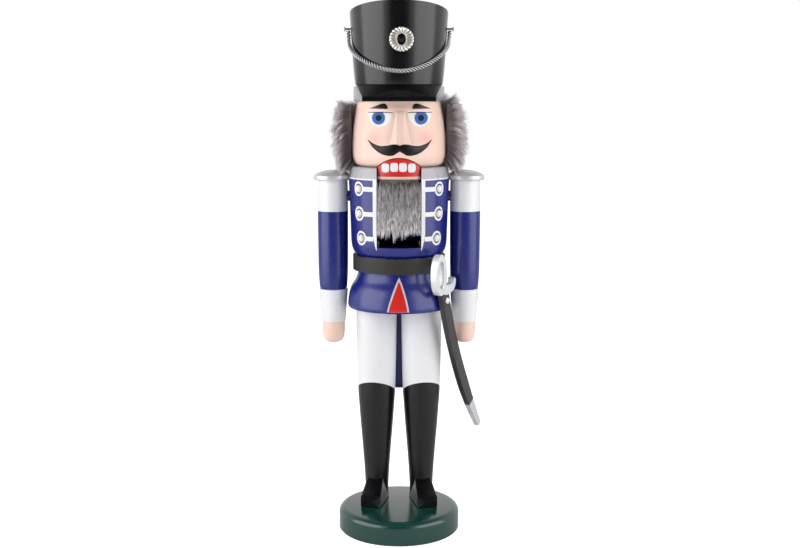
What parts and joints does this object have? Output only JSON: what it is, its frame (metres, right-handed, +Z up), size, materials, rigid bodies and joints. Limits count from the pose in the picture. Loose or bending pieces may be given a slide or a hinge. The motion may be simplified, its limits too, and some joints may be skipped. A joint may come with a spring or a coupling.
{
  "type": "nutcracker figure",
  "caption": "Turned wooden soldier nutcracker on a round base; lifting the tail lever at its back lowers the toothed jaw.",
  "frame": {"origin": "centre of the round base's underside, on the surface it stands on", "axes": "+Z up, the figure faces -Y, +X towards the figure's left hand"},
  "size_m": [0.1314, 0.1162, 0.3999],
  "materials": {
    "black_lacquer": "gloss black lacquer on turned wood",
    "blue_lacquer": "satin royal-blue lacquer on turned wood",
    "white_lacquer": "satin white lacquer on turned wood",
    "green_lacquer": "high-gloss bottle-green lacquer on turned wood",
    "flesh_lacquer": "satin flesh-coloured lacquer on turned wood",
    "silver_paint": "satin silver paint",
    "silver_trim": "pressed bright metal",
    "silver_thread": "twisted silver thread",
    "steel": "plain steel",
    "belt_leather": "matte dark strap",
    "grey_fur": "short grey fur",
    "pearl": "pearl-white lacquer",
    "dowel_wood": "bare beech dowel"
  },
  "bodies": {
    "figure": {"base_plate": "green_lacquer", "coat_skirt": "blue_lacquer", "belt": "belt_leather", "torso": "blue_lacquer", "neck_dowel": "dowel_wood", "head": "flesh_lacquer", "nose": "flesh_lacquer", "hair": "grey_fur", "pivot_pin": "steel", "pin_plug": "blue_lacquer", "hat_band": "silver_paint", "hat": "black_lacquer", "hat_dowel": "dowel_wood", "visor": "black_lacquer", "cockade": "silver_trim", "cockade_stud": "black_lacquer", "hat_cord": "silver_thread", "scabbard": "black_lacquer", "scabbard_chape": "silver_paint", "sabre_hilt": "silver_paint", "sabre_nail": "silver_paint", "leg_left": "white_lacquer", "foot_left": "black_lacquer", "arm_left": "blue_lacquer", "epaulette_left": "silver_paint", "hand_left": "flesh_lacquer", "shoulder_dowel_left": "dowel_wood", "cord_nail_left": "steel", "button_left_1": "pearl", "button_left_2": "pearl", "button_left_3": "pearl", "leg_right": "white_lacquer", "foot_right": "black_lacquer", "arm_right": "blue_lacquer", "epaulette_right": "silver_paint", "hand_right": "flesh_lacquer", "shoulder_dowel_right": "dowel_wood", "cord_nail_right": "steel", "button_right_1": "pearl", "button_right_2": "pearl", "button_right_3": "pearl"},
    "jaw": {"jaw_lever": "blue_lacquer", "beard": "grey_fur"}
  },
  "joints": [
    {"name": "jaw_hinge", "type": "hinge", "parent": "figure", "child": "jaw", "pos_m": [0, 0.008, 0.232], "axis": [1, 0, 0], "range_deg": [0, 25]}
  ]
}
